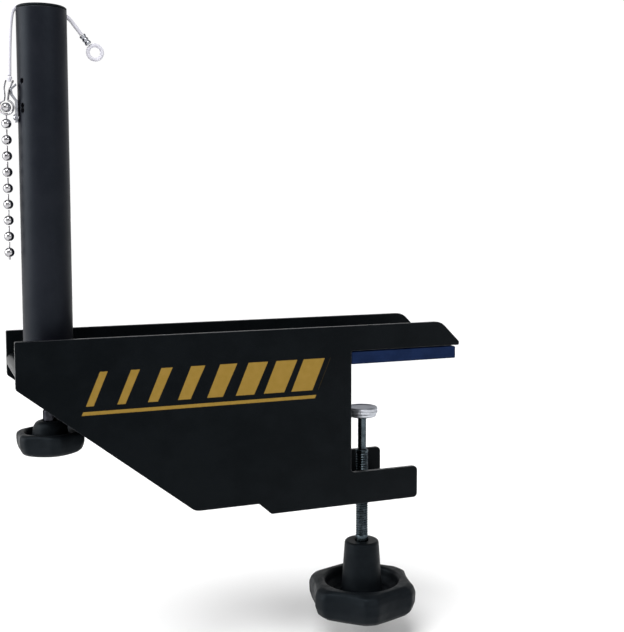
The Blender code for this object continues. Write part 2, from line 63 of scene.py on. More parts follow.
# Dimensions shared with the CAD model
POST_X = -0.1755
CLAMP_X = -0.0188
POST_RADIUS = 0.011
POST_BORE = 0.0094
SCREW_RADIUS = 0.0032
SCREW_BORE = 0.0035
NECK_RADIUS = 0.00215
THREAD_PITCH = 0.00125
THREAD_DEPTH = 0.00045
CORD_RADIUS = 0.0009
CHAIN_X = POST_X - 0.016
COUPLING_Y = -0.0012
RING_Z = 0.1207
RING_RADIUS = 0.0031
BEAD_RADIUS = 0.00215
BEAD_PITCH = 0.00712
BEAD_COUNT = 9
LINK_RADIUS = 0.0004
CLEARANCE = 0.0003
CLAMP_DROP = 0.01375

# The printed decoration on the front cheek
BARS_START = -0.158
BARS_END = -0.0475
BAR_PITCH = 0.0138
BAR_SLANT = -0.42
BAR_SHARES = (0.26, 0.80)
BARS_TOP = 0.0041
BARS_BOTTOM = -0.0111
LINE_TOP = -0.0135
LINE_BOTTOM = -0.0151
PRINT_FADE = 0.0001
PRINT_RAGGED = 0.00016

# Colours and gloss
COOL = (0.70, 0.86, 1.0)
COAT_TONES = ((0.0016, 0.0022, 0.0027), (0.0026, 0.0034, 0.0041))
COAT_GLOSS = (0.5, 0.065)
WORN_COAT = (0.055, 0.057, 0.064)
PRINT_TONES = ((0.19, 0.118, 0.019), (0.24, 0.150, 0.032))
EVEN_GRAIN = (900.0, 900.0, 900.0)
FINE_GRAIN = (700.0, 700.0, 700.0)

CORD_ROUTE = [
    (-0.0144, -0.0012, 0.1345),
    (-0.0143, -0.0011, 0.1390),
    (-0.0141, -0.0009, 0.1450),
    (-0.0138, -0.0006, 0.1510),
    (-0.0134, -0.0003, 0.1560),
    (-0.0129, 0.0, 0.1600),
    (-0.0123, 0.0, 0.1626),
    (-0.0113, 0.0, 0.1642),
    (-0.0097, 0.0, 0.1649),
    (-0.0070, 0.0, 0.1648),
    (-0.0030, 0.0, 0.1643),
    (0.0020, 0.0, 0.1637),
    (0.0070, 0.0, 0.1630),
    (0.0102, 0.0, 0.1623),
    (0.0124, 0.0, 0.1607),
    (0.0146, 0.0, 0.1580),
    (0.0174, 0.0, 0.1544),
]


# ---------------------------------------------------------------- camera


def add_camera():
    """The camera: 57 mm lens, a little above the table, looking past the post's side."""
    data = bpy.data.cameras.new("camera")
    data.lens = 57.442
    data.sensor_width = 36.0
    data.shift_x = -0.0143
    data.shift_y = -0.05
    data.clip_start = 0.01
    data.clip_end = 200.0
    camera = bpy.data.objects.new("camera", data)
    bpy.context.scene.collection.objects.link(camera)
    yaw, pitch, roll = (math.radians(a) for a in (21.884, 4.419, -0.046))
    ahead = Vector((math.sin(yaw), math.cos(yaw), 0.0))
    right = Vector((math.cos(yaw), -math.sin(yaw), 0.0))
    up = Vector((0.0, 0.0, 1.0))
    aim = ahead * math.cos(pitch) - up * math.sin(pitch)
    crown = up * math.cos(pitch) + ahead * math.sin(pitch)
    side = right * math.cos(roll) + crown * math.sin(roll)
    crown = crown * math.cos(roll) - right * math.sin(roll)
    camera.matrix_world = Matrix.Translation((-0.23023, -0.46971, 0.07694)) @ Matrix(
        (side, crown, -aim)
    ).transposed().to_4x4()
    bpy.context.scene.camera = camera


add_camera()


# ---------------------------------------------------------------- finishes


class Finish:
    """A material's node tree, with short names for the nodes that the finishes share."""

    def __init__(self, name, roughness=0.5, metallic=0.0, specular=0.5, tint=(1.0, 1.0, 1.0)):
        self.material = bpy.data.materials.new(name)
        self.material.use_nodes = True
        self.tree = self.material.node_tree
        self.shader = self.tree.nodes["Principled BSDF"]
        self.shader.inputs["Roughness"].default_value = roughness
        self.shader.inputs["Metallic"].default_value = metallic
        self.shader.inputs["Specular IOR Level"].default_value = specular
        self.shader.inputs["Specular Tint"].default_value = (*tint, 1.0)
        self.place = self.add("ShaderNodeTexCoord").outputs["Object"]

    def add(self, kind, **settings):
        node = self.tree.nodes.new(kind)
        for key, value in settings.items():
            setattr(node, key, value)
        return node

    def feed(self, socket, value):
        if isinstance(value, bpy.types.NodeSocket):
            self.tree.links.new(value, socket)
        else:
            socket.default_value = value

    def stretched(self, factors):
        node = self.add("ShaderNodeVectorMath", operation="MULTIPLY")
        self.feed(node.inputs[0], self.place)
        self.feed(node.inputs[1], factors)
        return node.outputs[0]

    def noise(self, scale, detail=2.0, rough=0.5, vector=None):
        node = self.add("ShaderNodeTexNoise")
        self.feed(node.inputs["Vector"], vector or self.place)
        self.feed(node.inputs["Scale"], scale)
        self.feed(node.inputs["Detail"], detail)
        self.feed(node.inputs["Roughness"], rough)
        return node.outputs[0]

    def spread(self, value, low, high, to_low=0.0, to_high=1.0):
        node = self.add("ShaderNodeMapRange", interpolation_type="SMOOTHSTEP")
        for socket, number in zip(node.inputs, (value, low, high, to_low, to_high)):
            self.feed(socket, number)
        return node.outputs[0]

    def calc(self, operation, a, b=0.0):
        node = self.add("ShaderNodeMath", operation=operation)
        self.feed(node.inputs[0], a)
        self.feed(node.inputs[1], b)
        return node.outputs[0]

    def blend(self, factor, a, b):
        node = self.add("ShaderNodeMix", data_type="RGBA")
        for index, value in ((0, factor), (6, a), (7, b)):
            if isinstance(value, tuple):
                value = (*value, 1.0)
            self.feed(node.inputs[index], value)
        return node.outputs[2]

    def axes(self):
        node = self.add("ShaderNodeSeparateXYZ")
        self.feed(node.inputs[0], self.place)
        return node.outputs

    def rounded_edges(self, radius):
        """The normal with edges rounded to a radius, and a mask that is 1 on those edges."""
        bevel = self.add("ShaderNodeBevel", samples=6)
        self.feed(bevel.inputs["Radius"], radius)
        flat = self.add("ShaderNodeNewGeometry").outputs["Normal"]
        node = self.add("ShaderNodeVectorMath", operation="DOT_PRODUCT")
        self.feed(node.inputs[0], bevel.outputs[0])
        self.feed(node.inputs[1], flat)
        return bevel.outputs[0], self.spread(node.outputs[1], 0.995, 0.86)

    def bump(self, height, distance, strength=1.0, normal=None):
        node = self.add("ShaderNodeBump")
        self.feed(node.inputs["Strength"], strength)
        self.feed(node.inputs["Distance"], distance)
        self.feed(node.inputs["Height"], height)
        if normal:
            self.feed(node.inputs["Normal"], normal)
        return node.outputs[0]

    def paint(self, colour, roughness=None, normal=None):
        for socket, value in (("Base Color", colour), ("Roughness", roughness), ("Normal", normal)):
            if value is not None:
                self.feed(self.shader.inputs[socket], value)
        return self.material


def stripes(finish):
    """A mask of slanted bars that widen to the right, over a thin line: a plain printed decoration."""
    x, y, z = finish.axes()
    ragged = finish.calc("MULTIPLY", finish.noise(2600.0, 1.0), PRINT_RAGGED)
    slant = finish.calc("ADD", finish.calc("MULTIPLY", z, BAR_SLANT), x)
    slant = finish.calc("ADD", slant, ragged)
    turns = finish.calc("DIVIDE", finish.calc("ADD", slant, -BARS_START), BAR_PITCH)
    phase = finish.calc("FRACT", turns)
    share = finish.spread(x, BARS_START, -0.05, *BAR_SHARES)
    bar = finish.spread(finish.calc("SUBTRACT", share, phase), 0.0, 0.014)
    bar = finish.calc("MULTIPLY", bar, finish.spread(phase, 0.0, 0.014))
    level = finish.calc("ADD", z, ragged)
    high = finish.spread(level, BARS_TOP + PRINT_FADE, BARS_TOP - PRINT_FADE)
    low = finish.spread(level, BARS_BOTTOM - PRINT_FADE, BARS_BOTTOM + PRINT_FADE)
    bar = finish.calc("MULTIPLY", bar, finish.calc("MULTIPLY", high, low))
    below = finish.spread(level, LINE_TOP + PRINT_FADE, LINE_TOP - PRINT_FADE)
    above = finish.spread(level, LINE_BOTTOM - PRINT_FADE, LINE_BOTTOM + PRINT_FADE)
    both = finish.calc("MAXIMUM", bar, finish.calc("MULTIPLY", below, above))
    after = finish.spread(slant, BARS_START - 0.0002, BARS_START)
    before = finish.spread(slant, BARS_END + PRINT_FADE, BARS_END - PRINT_FADE)
    front = finish.spread(y, -0.02284, -0.02287)
    ends = finish.calc("MULTIPLY", after, before)
    return finish.calc("MULTIPLY", both, finish.calc("MULTIPLY", ends, front))


def powder_coat(name, dark, light, specular, facing, decorated=False):
    """Satin black powder coat: orange peel, faint mottling, and edges where the coat is thin.

    Facing dims the gloss seen square on and leaves the gloss at a grazing angle as it is.
    """
    finish = Finish(name, 0.42, 0.0, specular, tuple(facing * c for c in COOL))
    rounded, edge = finish.rounded_edges(0.0005)
    mottled = finish.blend(finish.spread(finish.noise(70.0, 4.0, 0.6), 0.35, 0.65), dark, light)
    speck = finish.spread(finish.noise(5200.0, 1.0), 0.70, 0.78)
    colour = finish.blend(finish.calc("MULTIPLY", speck, 0.5), mottled, WORN_COAT)
    worn = finish.calc("MULTIPLY", edge, finish.spread(finish.noise(420.0, 3.0, 0.6), 0.30, 0.62))
    colour = finish.blend(finish.calc("MULTIPLY", worn, 0.85), colour, WORN_COAT)
    rough = finish.spread(finish.noise(260.0, 3.0), 0.3, 0.7, 0.42, 0.46)
    rough = finish.calc("SUBTRACT", rough, finish.calc("MULTIPLY", edge, 0.16))
    pores = finish.calc("MULTIPLY", finish.noise(5200.0, 1.0), 0.25)
    peel = finish.calc("ADD", finish.noise(1500.0, 2.0), pores)
    if decorated:
        ink = stripes(finish)
        colour = finish.blend(ink, colour, finish.blend(finish.noise(340.0, 3.0), *PRINT_TONES))
        rough = finish.calc("ADD", rough, finish.calc("MULTIPLY", ink, 0.08))
        peel = finish.calc("ADD", peel, finish.calc("MULTIPLY", ink, 0.5))
    return finish.paint(colour, rough, finish.bump(peel, 0.00003, 0.6, rounded))


def plated(
    name, dark, light, roughness, grain=(60.0, 60.0, 2600.0), edge_tint=(0.5, 0.5, 0.52), threaded=False
):
    """Plated metal: fine turning marks, cloudy colour, small dull spots and, if threaded, painted shade in
    the thread roots.
    """
    finish = Finish(name, roughness, 1.0, 0.5, edge_tint)
    rounded = finish.rounded_edges(0.0002)[0]
    cloud = finish.noise(330.0, 4.0, 0.6)
    colour = finish.blend(finish.spread(cloud, 0.3, 0.7), dark, light)
    spot = finish.spread(finish.noise(1900.0, 2.0), 0.66, 0.76)
    colour = finish.blend(finish.calc("MULTIPLY", spot, 0.35), colour, tuple(0.45 * c for c in dark))
    if threaded:
        # Painted shade: the thread roots are darkened wherever ambient occlusion finds them hidden.
        occluded_roots = finish.add("ShaderNodeAmbientOcclusion", samples=6)
        finish.feed(occluded_roots.inputs["Distance"], 0.0007)
        depth = finish.spread(occluded_roots.outputs["AO"], 0.96, 0.55)
        colour = finish.blend(depth, colour, tuple(0.15 * c for c in dark))
    marks = finish.noise(1.0, 2.0, 0.5, finish.stretched(grain))
    rough = finish.spread(cloud, 0.25, 0.75, roughness * 0.75, roughness * 1.3)
    return finish.paint(colour, rough, finish.bump(marks, 0.00001, 0.5, rounded))


def moulded(name, dark, light, specular, rough_low, rough_high, grain=3400.0, depth=0.00003):
    """Moulded plastic or rubber with a fine sparked texture and rubbed, lighter edges."""
    finish = Finish(name, rough_high, 0.0, specular, COOL)
    rounded, edge = finish.rounded_edges(0.0005)
    colour = finish.blend(finish.spread(finish.noise(150.0, 4.0, 0.6), 0.32, 0.68), dark, light)
    rubbed = finish.calc("MULTIPLY", edge, finish.spread(finish.noise(300.0, 3.0), 0.35, 0.65))
    colour = finish.blend(finish.calc("MULTIPLY", rubbed, 0.5), colour, tuple(2.2 * c for c in light))
    rough = finish.spread(finish.noise(200.0, 3.0), 0.3, 0.7, rough_low, rough_high)
    texture = finish.calc("ADD", finish.noise(grain, 3.0, 0.7), finish.noise(grain / 5, 2.0))
    return finish.paint(colour, rough, finish.bump(texture, depth, 0.55, rounded))


def fibre(name):
    """White twisted fibre in random grey tones, with painted shade darkening it between its strands."""
    finish = Finish(name, 0.72, 0.0, 0.3)
    strands = finish.noise(5200.0, 3.0, 0.6)
    # Painted shade: the cord darkens wherever ambient occlusion finds it hidden, between its strands and
    # against other parts.
    shade = finish.add("ShaderNodeAmbientOcclusion", samples=6)
    finish.feed(shade.inputs["Distance"], 0.0006)
    colour = finish.blend(finish.spread(strands, 0.3, 0.7), (0.44, 0.43, 0.49), (0.66, 0.66, 0.71))
    colour = finish.blend(finish.spread(shade.outputs["AO"], 0.35, 0.95), (0.16, 0.15, 0.19), colour)
    finish.shader.inputs["Sheen Weight"].default_value = 0.25
    return finish.paint(colour, None, finish.bump(strands, 0.00006, 0.6))


coat = powder_coat("black_coat", *COAT_TONES, *COAT_GLOSS)
coat_front = powder_coat("black_coat_decorated", *COAT_TONES, *COAT_GLOSS, decorated=True)
post_coat = powder_coat("post_coat", (0.0040, 0.0044, 0.0070), (0.0060, 0.0064, 0.0094), 0.12, 1.0)
plastic = moulded("black_plastic", (0.0028, 0.0036, 0.0045), (0.0045, 0.0057, 0.0069), 0.08, 0.40, 0.56)
rubber = moulded(
    "blue_rubber", (0.0042, 0.0102, 0.035), (0.0060, 0.0138, 0.046), 0.06, 0.70, 0.88, 1800.0, 0.00006
)
zinc = plated("zinc_plate", (0.034, 0.046, 0.054), (0.095, 0.120, 0.135), 0.26, threaded=True)
height_zinc = plated(
    "bright_zinc",
    (0.012, 0.0125, 0.0155),
    (0.034, 0.035, 0.042),
    0.26,
    edge_tint=(0.2, 0.2, 0.22),
    threaded=True,
)
pad_zinc = plated("pad_zinc", (0.46, 0.48, 0.52), (0.62, 0.64, 0.68), 0.44, EVEN_GRAIN)
zinc_sheet = plated("zinc_sheet", (0.26, 0.27, 0.30), (0.38, 0.39, 0.42), 0.26, EVEN_GRAIN)
nickel = plated(
    "nickel_plate", (0.30, 0.295, 0.31), (0.48, 0.475, 0.49), 0.09, FINE_GRAIN, edge_tint=(0.04, 0.04, 0.05)
)
cord_white = fibre("white_cord")


# ---------------------------------------------------------------- shapes


def settle(name, mesh, finish, body, nodes=(), sharp=38.0):
    """Makes a piece of a mesh: smooth but for its sharp edges, riding on its body."""
    for polygon in mesh.polygons:
        polygon.use_smooth = True
    mesh.set_sharp_from_angle(angle=math.radians(sharp))
    mesh.materials.clear()
    mesh.materials.append(finish)
    piece = bpy.data.objects.new(name, mesh)
    bpy.context.scene.collection.objects.link(piece)
    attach(piece, body)
    if nodes:
        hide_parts(*nodes)
    return piece


def soften(profile, radius, steps=3):
    """A profile with its inner corners rounded off."""
    points = [Vector(p) for p in profile]
    made = [points[0]]
    for before, here, after in zip(points, points[1:], points[2:]):
        start = here + (before - here).normalized() * min(radius, 0.45 * (before - here).length)
        end = here + (after - here).normalized() * min(radius, 0.45 * (after - here).length)
        for step in range(steps + 1):
            t = step / steps
            made.append(start * (1 - t) ** 2 + here * 2 * t * (1 - t) + end * t**2)
    made.append(points[-1])
    return made


def turned_mesh(name, profile, centre, steps=64, closed=False, radial=None):
    """A turned mesh from (radius, z) points run down its outer side; radial(r, z, angle) may shape it."""
    shape = bmesh.new()
    rings = []
    for r, z in profile:
        if r < 1e-7:
            rings.append([shape.verts.new((*centre, z))])
            continue
        ring = []
        for step in range(steps):
            angle = 2 * math.pi * step / steps
            reach = radial(r, z, angle) if radial else r
            ring.append(
                shape.verts.new((centre[0] + reach * math.cos(angle), centre[1] + reach * math.sin(angle), z))
            )
        rings.append(ring)
    pairs = list(zip(rings, rings[1:]))
    if closed:
        pairs.append((rings[-1], rings[0]))
    for upper, lower in pairs:
        for step in range(steps):
            after = (step + 1) % steps
            corners = [upper[step % len(upper)], lower[step % len(lower)]]
            corners += [lower[after % len(lower)], upper[after % len(upper)]]
            unique = list(dict.fromkeys(corners))
            if len(unique) > 2:
                shape.faces.new(unique)
    bmesh.ops.recalc_face_normals(shape, faces=shape.faces)
    mesh = bpy.data.meshes.new(name)
    shape.to_mesh(mesh)
    shape.free()
    return mesh


def smooth_path(route, spacing):
    """Points at an even spacing on a Catmull-Rom curve through the route's points."""
    knots = [Vector(point) for point in route]
    knots = [2 * knots[0] - knots[1], *knots, 2 * knots[-1] - knots[-2]]
    fine = []
    for a, b, c, d in zip(knots, knots[1:], knots[2:], knots[3:]):
        for step in range(20):
            t = step / 20
            fine.append(
                0.5 * (2 * b + (c - a) * t + (2 * a - 5 * b + 4 * c - d) * t**2)
                + 0.5 * (3 * b - a - 3 * c + d) * t**3
            )
    fine.append(knots[-2])
    length = sum((q - p).length for p, q in zip(fine, fine[1:]))
    count = max(2, round(length / spacing))
    path, walked, target = [fine[0]], 0.0, length / count
    for p, q in zip(fine, fine[1:]):
        stretch = (q - p).length
        while len(path) < count and walked + stretch >= target * len(path):
            path.append(p.lerp(q, (target * len(path) - walked) / stretch))
        walked += stretch
    path.append(fine[-1])
    return path


def tube_mesh(name, path, radius, sides=12, surface=None, closed=False):
    """A tube along a path; surface(length, angle) scales its radius."""
    shape = bmesh.new()
    rings = []
    walked = 0.0
    count = len(path)
    across = None
    for index, point in enumerate(path):
        ahead = path[(index + 1) % count] if closed or index < count - 1 else point
        behind = path[index - 1] if closed or index > 0 else point
        course = (ahead - behind).normalized()
        if across is None:
            across = course.orthogonal().normalized()
        across = (across - course * across.dot(course)).normalized()
        other = course.cross(across)
        if index:
            walked += (point - path[index - 1]).length
        ring = []
        for side in range(sides):
            angle = 2 * math.pi * side / sides
            reach = radius * (surface(walked, angle) if surface else 1.0)
            ring.append(shape.verts.new(point + reach * (across * math.cos(angle) + other * math.sin(angle))))
        rings.append(ring)
    pairs = list(zip(rings, rings[1:]))
    if closed:
        offset = min(range(sides), key=lambda k: (rings[0][k].co - rings[-1][0].co).length)
        pairs.append((rings[-1], rings[0][offset:] + rings[0][:offset]))
    for first, second in pairs:
        for side in range(sides):
            after = (side + 1) % sides
            shape.faces.new((first[side], first[after], second[after], second[side]))
    if not closed:
        shape.faces.new(rings[0][::-1])
        shape.faces.new(rings[-1])
    bmesh.ops.recalc_face_normals(shape, faces=shape.faces)
    mesh = bpy.data.meshes.new(name)
    shape.to_mesh(mesh)
    shape.free()
    return mesh


def carve(mesh, tools):
    """Cuts the tools' meshes out of a mesh."""
    body = bpy.data.objects.new("carved", mesh)
    bpy.context.scene.collection.objects.link(body)
    helpers = []
    for tool in tools:
        helper = bpy.data.objects.new("tool", tool)
        bpy.context.scene.collection.objects.link(helper)
        cut = body.modifiers.new("Cut", "BOOLEAN")
        cut.operation = "DIFFERENCE"
        cut.solver = "EXACT"
        cut.object = helper
        helpers.append(helper)
    graph = bpy.context.evaluated_depsgraph_get()
    made = bpy.data.meshes.new_from_object(body.evaluated_get(graph))
    for extra in [body, *helpers]:
        bpy.data.objects.remove(extra)
    return made


def block_mesh(low, high, turn=None):
    """A box for cutting, between two corners, turned about its middle if asked."""
    shape = bmesh.new()
    bmesh.ops.create_cube(shape, size=1.0)
    low, high = Vector(low), Vector(high)
    bmesh.ops.scale(shape, vec=high - low, verts=shape.verts)
    if turn:
        bmesh.ops.rotate(shape, verts=shape.verts, matrix=Matrix.Rotation(turn, 3, "Y"))
    bmesh.ops.translate(shape, vec=(low + high) / 2, verts=shape.verts)
    mesh = bpy.data.meshes.new("block")
    shape.to_mesh(mesh)
    shape.free()
    return mesh


def drill_mesh(place, direction, radius, length):
    """A round drill for cutting, centred on a point."""
    shape = bmesh.new()
    bmesh.ops.create_cone(shape, cap_ends=True, segments=24, radius1=radius, radius2=radius, depth=length)
    bmesh.ops.rotate(shape, verts=shape.verts, matrix=Vector(direction).to_track_quat("Z", "Y").to_matrix())
    bmesh.ops.translate(shape, vec=place, verts=shape.verts)
    mesh = bpy.data.meshes.new("drill")
    shape.to_mesh(mesh)
    shape.free()
    return mesh


# ---------------------------------------------------------------- CAD nodes that stay

NODE_FINISHES = {
    "front_cheek": coat_front,
    "rear_cheek": coat,
    "channel_web": coat,
    "throat_plate": coat,
    "arm_floor": coat,
    "thrust_plug": zinc,
    "thrust_washer": zinc,
    "height_clip": zinc,
    "chain_catch": zinc_sheet,
    "catch_rivet": zinc_sheet,
}
for node_name, finish in NODE_FINISHES.items():
    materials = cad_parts[node_name].data.materials
    materials.clear()
    materials.append(finish)


# ---------------------------------------------------------------- bracket details


def weld(name, start, end, radius):
    """A coated weld seam: a low ridge of overlapping scallops between two points."""
    start, end = Vector(start), Vector(end)
    length = (end - start).length
    steps = max(12, round(length / 0.0005))
    path = [start.lerp(end, step / steps) for step in range(steps + 1)]

    def scallops(walked, angle):
        ripple = abs(math.sin(math.pi * walked / 0.0016))
        uneven = noise.noise(Vector((walked * 260.0, angle, start.x * 90.0 + start.y * 70.0)))
        taper = min(1.0, walked / 0.002, (length - walked) / 0.002 + 0.05)
        return max(0.2, taper) * (0.80 + 0.20 * ripple + 0.10 * uneven)

    settle(name, tube_mesh(name, path, radius, 10, scallops), coat, "bracket", sharp=60.0)


def build_bracket_details():
    """Seams where the sheets meet the cheeks, the two welded nuts, the sleeve and the jaw pad."""
    for tag, side in (("front", -1), ("rear", 1)):
        y = side * 0.0206
        weld(f"web_seam_{tag}", (-0.186, y, 0.0061), (-0.0372, y, 0.0061), 0.0009)
        weld(f"floor_seam_{tag}", (-0.062, y, -0.0671), (-0.001, y, -0.0671), 0.0009)
        weld(f"throat_seam_{tag}", (-0.0371, y, -0.064), (-0.0371, y, -0.0015), 0.0009)
    nut("clamp_nut_look", "clamp_nut", CLAMP_X, -0.0673, 0.0052)
    nut("height_nut_look", "height_nut", POST_X, 0.0009, 0.0052)
    foot = 0.0087
    profile = [
        (POST_BORE - 0.0009, 0.034),
        (POST_BORE - CLEARANCE, 0.0332),
        (POST_BORE - CLEARANCE, foot + 0.0015),
        (POST_RADIUS + 0.0015, foot + 0.0015),
        (POST_RADIUS + 0.0015, foot),
        (SCREW_BORE, foot),
        (SCREW_BORE, 0.034),
    ]
    sleeve = turned_mesh("guide_sleeve_look", soften(profile, 0.0003), (POST_X, 0.0), 72, True)
    settle("guide_sleeve_look", sleeve, zinc, "bracket", ["guide_sleeve"])
    build_jaw_pad()


def nut(name, node, x, low, height):
    """A hexagon nut with chamfered corners."""
    half_flats = 0.0064 * math.cos(math.pi / 6)
    corner = 0.0064
    profile = [
        (SCREW_BORE, low + height - 0.0004),
        (SCREW_BORE + 0.0004, low + height),
        (half_flats - 0.0001, low + height),
        (corner, low + height - 0.0006),
        (corner, low + height - 0.0012),
        (corner, low + 0.0012),
        (corner, low + 0.0006),
        (half_flats - 0.0001, low),
        (SCREW_BORE + 0.0004, low),
        (SCREW_BORE, low + 0.0004),
    ]

    def six_sided(r, z, angle):
        wrapped = (angle + math.pi / 6) % (math.pi / 3) - math.pi / 6
        return min(r, half_flats / math.cos(wrapped)) if r > half_flats - 0.0005 else r

    mesh = turned_mesh(name, profile, (x, 0.0), 96, True, six_sided)
    settle(name, mesh, zinc, "bracket", [node], 25.0)


def build_jaw_pad():
    """The blue rubber pad under the nose, as wide as the bracket, with eased edges."""
    low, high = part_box("jaw_pad")
    shape = bmesh.new()
    bmesh.ops.create_cube(shape, size=1.0)
    bmesh.ops.scale(shape, vec=high - low, verts=shape.verts)
    bmesh.ops.translate(shape, vec=(low + high) / 2, verts=shape.verts)
    bmesh.ops.bevel(shape, geom=shape.edges[:], offset=0.0007, segments=4, profile=0.5, affect="EDGES")
    mesh = bpy.data.meshes.new("jaw_pad_look")
    shape.to_mesh(mesh)
    shape.free()
    settle("jaw_pad_look", mesh, rubber, "bracket", ["jaw_pad"])


# ---------------------------------------------------------------- post


def build_post():
    """The post tube with its slot, notch and small holes, and the plug in its top."""
    low, high = 0.0129, 0.164
    profile = [
        (POST_RADIUS, high),
        (POST_RADIUS, low),
        (POST_BORE, low),
        (POST_BORE, high),
        (POST_RADIUS, high),
    ]
    profile = soften(profile, 0.0003)[:-1]
    tube = turned_mesh("post_tube_look", profile, (POST_X, 0.0), 128, True)
    notch = CORD_RADIUS + 0.0004
    bearing = math.radians(209)
    outward = Vector((math.cos(bearing), math.sin(bearing), 0.0))
    tools = [
        block_mesh((POST_X + POST_BORE / 2, -0.0015, 0.024), (POST_X + 0.0165, 0.0015, 0.175)),
        block_mesh((POST_X - 0.0165, -notch, high - 0.0012), (POST_X - POST_BORE / 2, notch, 0.175)),
        drill_mesh((POST_X - POST_RADIUS, COUPLING_Y, 0.1164), (1.0, 0.0, 0.0), 0.0012, 0.006),
    ]
    for z in (0.132, 0.1212, 0.1192):
        place = Vector((POST_X, 0.0, z)) + outward * POST_RADIUS
        tools.append(drill_mesh(place, outward, 0.0013, 0.008))
    settle("post_tube_look", carve(tube, tools), post_coat, "post", ["post_tube"], 30.0)

    top, flange = 0.1655, 0.0012
    plug = POST_BORE - CLEARANCE
    profile = [
        (0.0, top),
        (POST_RADIUS - 0.0009, top),
        (POST_RADIUS, top - 0.0005),
        (POST_RADIUS, top - flange),
        (plug, top - flange),
        (plug, top - 0.0135),
        (0.0, top - 0.0135),
    ]
    cap = turned_mesh("post_cap_look", soften(profile, 0.0003), (POST_X, 0.0), 96)
    groove = block_mesh((POST_X - 0.02, -notch, 0.16255), (POST_X + 0.02, notch, 0.17255), math.radians(7.5))
    shift = Vector((math.sin(math.radians(7.5)) * 0.005, 0.0, -(1 - math.cos(math.radians(7.5))) * 0.005))
    groove.transform(Matrix.Translation(shift))
    settle("post_cap_look", carve(cap, [groove]), plastic, "post", ["post_cap"], 30.0)


# ---------------------------------------------------------------- cord, coupling and chain


def braid(walked, angle):
    """The relief of eight strands plaited round a cord."""
    turn = 2 * math.pi * walked / 0.0042
    one_way = math.sin(4 * (angle + turn))
    other_way = math.sin(4 * (angle - turn))
    return 0.955 + 0.045 * max(one_way, other_way)


def build_cord():
    """The tension cord with its sleeve, and the crimped eye that takes the net's line."""
    route = [Vector((POST_X + x, y, z)) for x, y, z in CORD_ROUTE]
    path = smooth_path(route, 0.00022)
    mesh = tube_mesh("tension_cord_look", path, CORD_RADIUS, 24, braid)
    cord = settle("tension_cord_look", mesh, cord_white, "post", ["tension_cord"], 80.0)

    start, end = route[0], route[-1]
    top = start.z - CLEARANCE
    profile = [
        (0.0, top),
        (0.0010, top),
        (0.0012, top - 0.0003),
        (0.0011, top - 0.0007),
        (0.0012, top - 0.0010),
        (0.0008, top - 0.0014),
        (0.0008, top - 0.0022),
        (0.0, top - 0.0024),
    ]
    mesh = turned_mesh("cord_sleeve_look", soften(profile, 0.0002), (start.x, start.y), 32)
    sleeve = settle("cord_sleeve_look", mesh, cord_white, "post", ["cord_sleeve"], 50.0)

    course = (end - route[-2]).normalized()
    length = 0.005
    outline = [(0.0, 0.5), (0.0013, 0.5), (0.0015, 0.46), (0.0015, 0.30), (0.0012, 0.22), (0.0012, 0.12)]
    outline += [(0.0015, 0.04), (0.0015, -0.04), (0.0012, -0.12), (0.0012, -0.22), (0.0015, -0.30)]
    outline += [(0.0015, -0.46), (0.0013, -0.5), (0.0, -0.5)]
    profile = soften([(r, share * length) for r, share in outline], 0.0003)
    mesh = turned_mesh("cord_crimp_look", profile, (0.0, 0.0), 32)
    middle = end + course * (CLEARANCE + length / 2)
    mesh.transform(Matrix.Translation(middle) @ course.to_track_quat("Z", "Y").to_matrix().to_4x4())
    crimp = settle("cord_crimp_look", mesh, zinc_sheet, "post", ["cord_crimp"])

    eye_radius = 0.0032
    centre = end + course * (2 * CLEARANCE + length + eye_radius + CORD_RADIUS)
    loop = []
    for step in range(84):
        angle = 2 * math.pi * step / 84
        loop.append(centre + eye_radius * Vector((math.cos(angle), 0.0, math.sin(angle))))
    mesh = tube_mesh("cord_eye_look", loop, CORD_RADIUS, 20, braid, True)
    eye = settle("cord_eye_look", mesh, cord_white, "post", ["cord_eye"], 80.0)


def build_coupling():
    """The keyhole-shaped wire that joins the cord to the chain's first bead."""
    opening = math.radians(16)
    turn = 2 * (math.pi - opening)
    arc = []
    for step in range(21):
        angle = math.pi / 2 + opening + turn * step / 20
        arc.append((-0.016 + RING_RADIUS * math.cos(angle), RING_Z + RING_RADIUS * math.sin(angle)))
    left_leg = [(-0.0160, 0.1325), (-0.0165, 0.1306), (-0.0168, 0.1288), (-0.0166, 0.1262)]
    right_leg = [(-0.0149, 0.1262), (-0.0147, 0.1278), (-0.0141, 0.1295), (-0.0128, 0.1325)]
    outline = left_leg + [(-0.0167, 0.1247)] + arc + [(-0.0151, 0.1247)] + right_leg
    path = smooth_path([(POST_X + x, COUPLING_Y, z) for x, z in outline], 0.0004)
    mesh = tube_mesh("coupling_wire_look", path, 0.00045, 14)
    settle("coupling_wire_look", mesh, nickel, "post", ["coupling_wire"])


